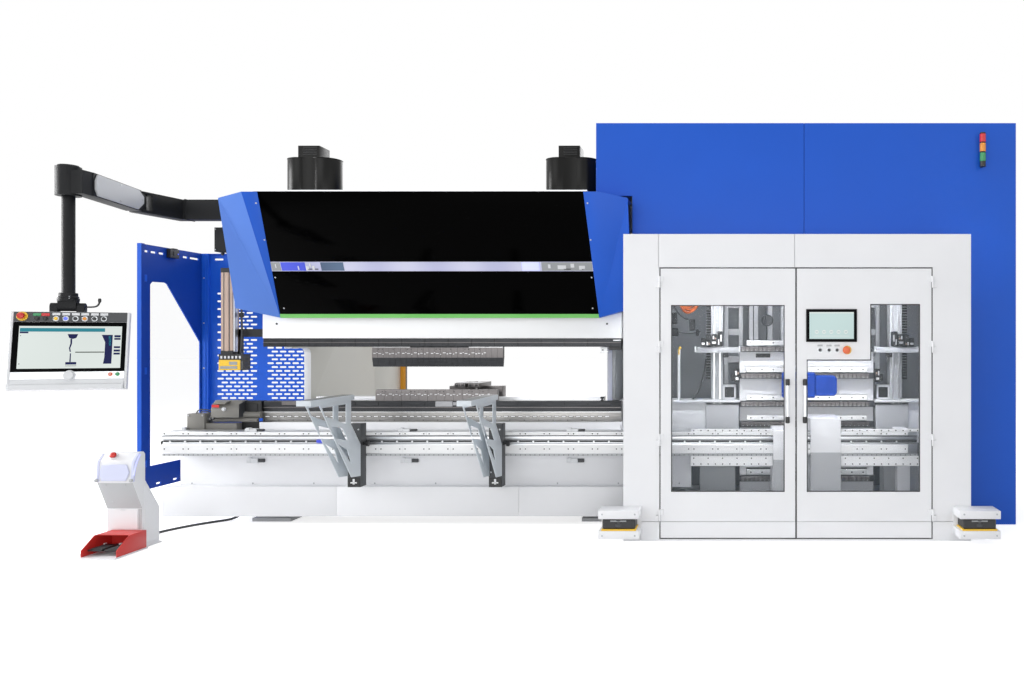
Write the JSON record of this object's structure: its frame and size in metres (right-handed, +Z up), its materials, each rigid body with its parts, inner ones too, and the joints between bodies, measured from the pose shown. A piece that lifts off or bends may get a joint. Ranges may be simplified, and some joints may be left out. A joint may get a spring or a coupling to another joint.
{
  "type": "press brake with tool changer",
  "caption": "Hydraulic press brake with a tool-changer cabinet, swinging control panel, sheet support arms and foot-pedal console.",
  "frame": {"origin": "on the floor, at the centre of the rectangle of four anchor holes in the foot plates", "axes": "+X along the bending line, to the right seen from the operator's side; +Y to the machine's back; +Z up"},
  "size_m": [7.58, 3.9692, 3.378],
  "materials": {
    "white_enamel": "baked white enamel",
    "blue_enamel": "baked blue enamel",
    "black_gloss": "gloss black enamel",
    "dark_enamel": "satin charcoal enamel",
    "beige_enamel": "baked beige enamel",
    "yellow_enamel": "baked yellow enamel",
    "red_enamel": "baked red enamel",
    "grey_enamel": "baked light grey enamel",
    "ground_steel": "ground steel",
    "blued_steel": "dark oiled steel",
    "aluminium_rail": "clear anodised aluminium",
    "bronze_profile": "bronze anodised aluminium",
    "panel_housing": "moulded housing",
    "black_plastic": "moulded black plastic",
    "lamp_diffuser": "translucent lamp plastic",
    "clear_pane": "clear pane",
    "cable_sheath": "corrugated plastic conduit"
  },
  "bodies": {
    "machine": {"foot_plates": "dark_enamel", "left_side_frame": "white_enamel", "right_side_frame": "white_enamel", "cross_beams": "white_enamel", "bed_plate": "white_enamel", "bed_skirt": "white_enamel", "crowning_table": "blued_steel", "crowning_drive": "grey_enamel", "die": "ground_steel", "front_rail": "aluminium_rail", "upper_cover": "black_gloss", "lower_cover": "black_gloss", "light_bars": "lamp_diffuser", "left_end_cap": "blue_enamel", "right_end_cap": "blue_enamel", "left_cylinder": "dark_enamel", "right_cylinder": "dark_enamel", "side_guard": "blue_enamel", "guard_window": "clear_pane", "perforated_guard": "blue_enamel", "electrical_cabinet": "beige_enamel", "light_curtain_posts": "yellow_enamel", "pendant_bracket": "dark_enamel", "gauge_rails": "ground_steel", "cabinet_front": "blue_enamel", "cabinet_side_walls": "blue_enamel", "cabinet_back_wall": "blue_enamel", "cabinet_roof": "blue_enamel", "housing_frame": "white_enamel", "housing_shell": "white_enamel", "cabinet_base": "grey_enamel", "tool_racks": "grey_enamel", "left_changer": "grey_enamel", "right_changer": "grey_enamel", "signal_tower": "lamp_diffuser", "scanner_guards": "white_enamel", "pedal_console": "white_enamel", "pedal_hood": "red_enamel", "pedal_cable": "cable_sheath", "cable_glands": "black_plastic"},
    "ram": {"ram_beam": "white_enamel", "punch_clamp": "blued_steel", "punch": "ground_steel", "laser_guard": "bronze_profile"},
    "pendant_arm": {"pendant_arm": "dark_enamel"},
    "pendant_post": {"pendant_post": "dark_enamel"},
    "control_panel": {"control_panel": "panel_housing"},
    "left_support_arm": {"left_support_arm": "white_enamel"},
    "right_support_arm": {"right_support_arm": "white_enamel"},
    "back_gauge": {"gauge_beam": "aluminium_rail"},
    "left_gauge_finger": {"left_gauge_finger": "grey_enamel"},
    "right_gauge_finger": {"right_gauge_finger": "grey_enamel"},
    "left_door": {"left_door": "white_enamel", "left_door_glass": "clear_pane"},
    "right_door": {"right_door": "white_enamel", "right_door_glass": "clear_pane", "door_screen": "black_plastic"},
    "left_pedal": {"left_pedal": "black_plastic"},
    "right_pedal": {"right_pedal": "black_plastic"}
  },
  "joints": [
    {"name": "ram_stroke", "type": "slide", "parent": "machine", "child": "ram", "axis": [0, 0, -1], "range_m": [0, 0.185]},
    {"name": "pendant_swing", "type": "hinge", "parent": "machine", "child": "pendant_arm", "pos_m": [-2.352, -1.305, 2.685], "axis": [0, 0, 1], "range_deg": [-60, 35]},
    {"name": "post_swivel", "type": "hinge", "parent": "pendant_arm", "child": "pendant_post", "pos_m": [-2.27, -2.1, 2.7], "axis": [0, 0, 1], "range_deg": [-80, 40]},
    {"name": "panel_tilt", "type": "hinge", "parent": "pendant_post", "child": "control_panel", "pos_m": [-2.27, -2.1, 1.79], "axis": [0.9397, 0.342, 0], "range_deg": [-10, 10]},
    {"name": "left_support_slide", "type": "slide", "parent": "machine", "child": "left_support_arm", "axis": [1, 0, 0], "range_m": [-0.95, 0.45]},
    {"name": "right_support_slide", "type": "slide", "parent": "machine", "child": "right_support_arm", "axis": [1, 0, 0], "range_m": [-0.45, 0.85]},
    {"name": "gauge_depth", "type": "slide", "parent": "machine", "child": "back_gauge", "axis": [0, 1, 0], "range_m": [-0.1, 0.5]},
    {"name": "left_finger_slide", "type": "slide", "parent": "back_gauge", "child": "left_gauge_finger", "axis": [1, 0, 0], "range_m": [-0.9, 0.01]},
    {"name": "right_finger_slide", "type": "slide", "parent": "back_gauge", "child": "right_gauge_finger", "axis": [1, 0, 0], "range_m": [-0.01, 0.85]},
    {"name": "left_door_swing", "type": "hinge", "parent": "machine", "child": "left_door", "pos_m": [1.9655, -1.712, 1], "axis": [0, 0, -1], "range_deg": [0, 100]},
    {"name": "right_door_swing", "type": "hinge", "parent": "machine", "child": "right_door", "pos_m": [4.0715, -1.712, 1], "axis": [0, 0, 1], "range_deg": [0, 100]},
    {"name": "left_pedal_press", "type": "hinge", "parent": "machine", "child": "left_pedal", "pos_m": [-2.018, -2.01, 0.051], "axis": [1, 0, 0], "range_deg": [0, 8], "stiffness_Nm_per_rad": 10, "springref_deg": -11.46},
    {"name": "right_pedal_press", "type": "hinge", "parent": "machine", "child": "right_pedal", "pos_m": [-1.898, -2.01, 0.051], "axis": [1, 0, 0], "range_deg": [0, 8], "stiffness_Nm_per_rad": 10, "springref_deg": -11.46}
  ]
}
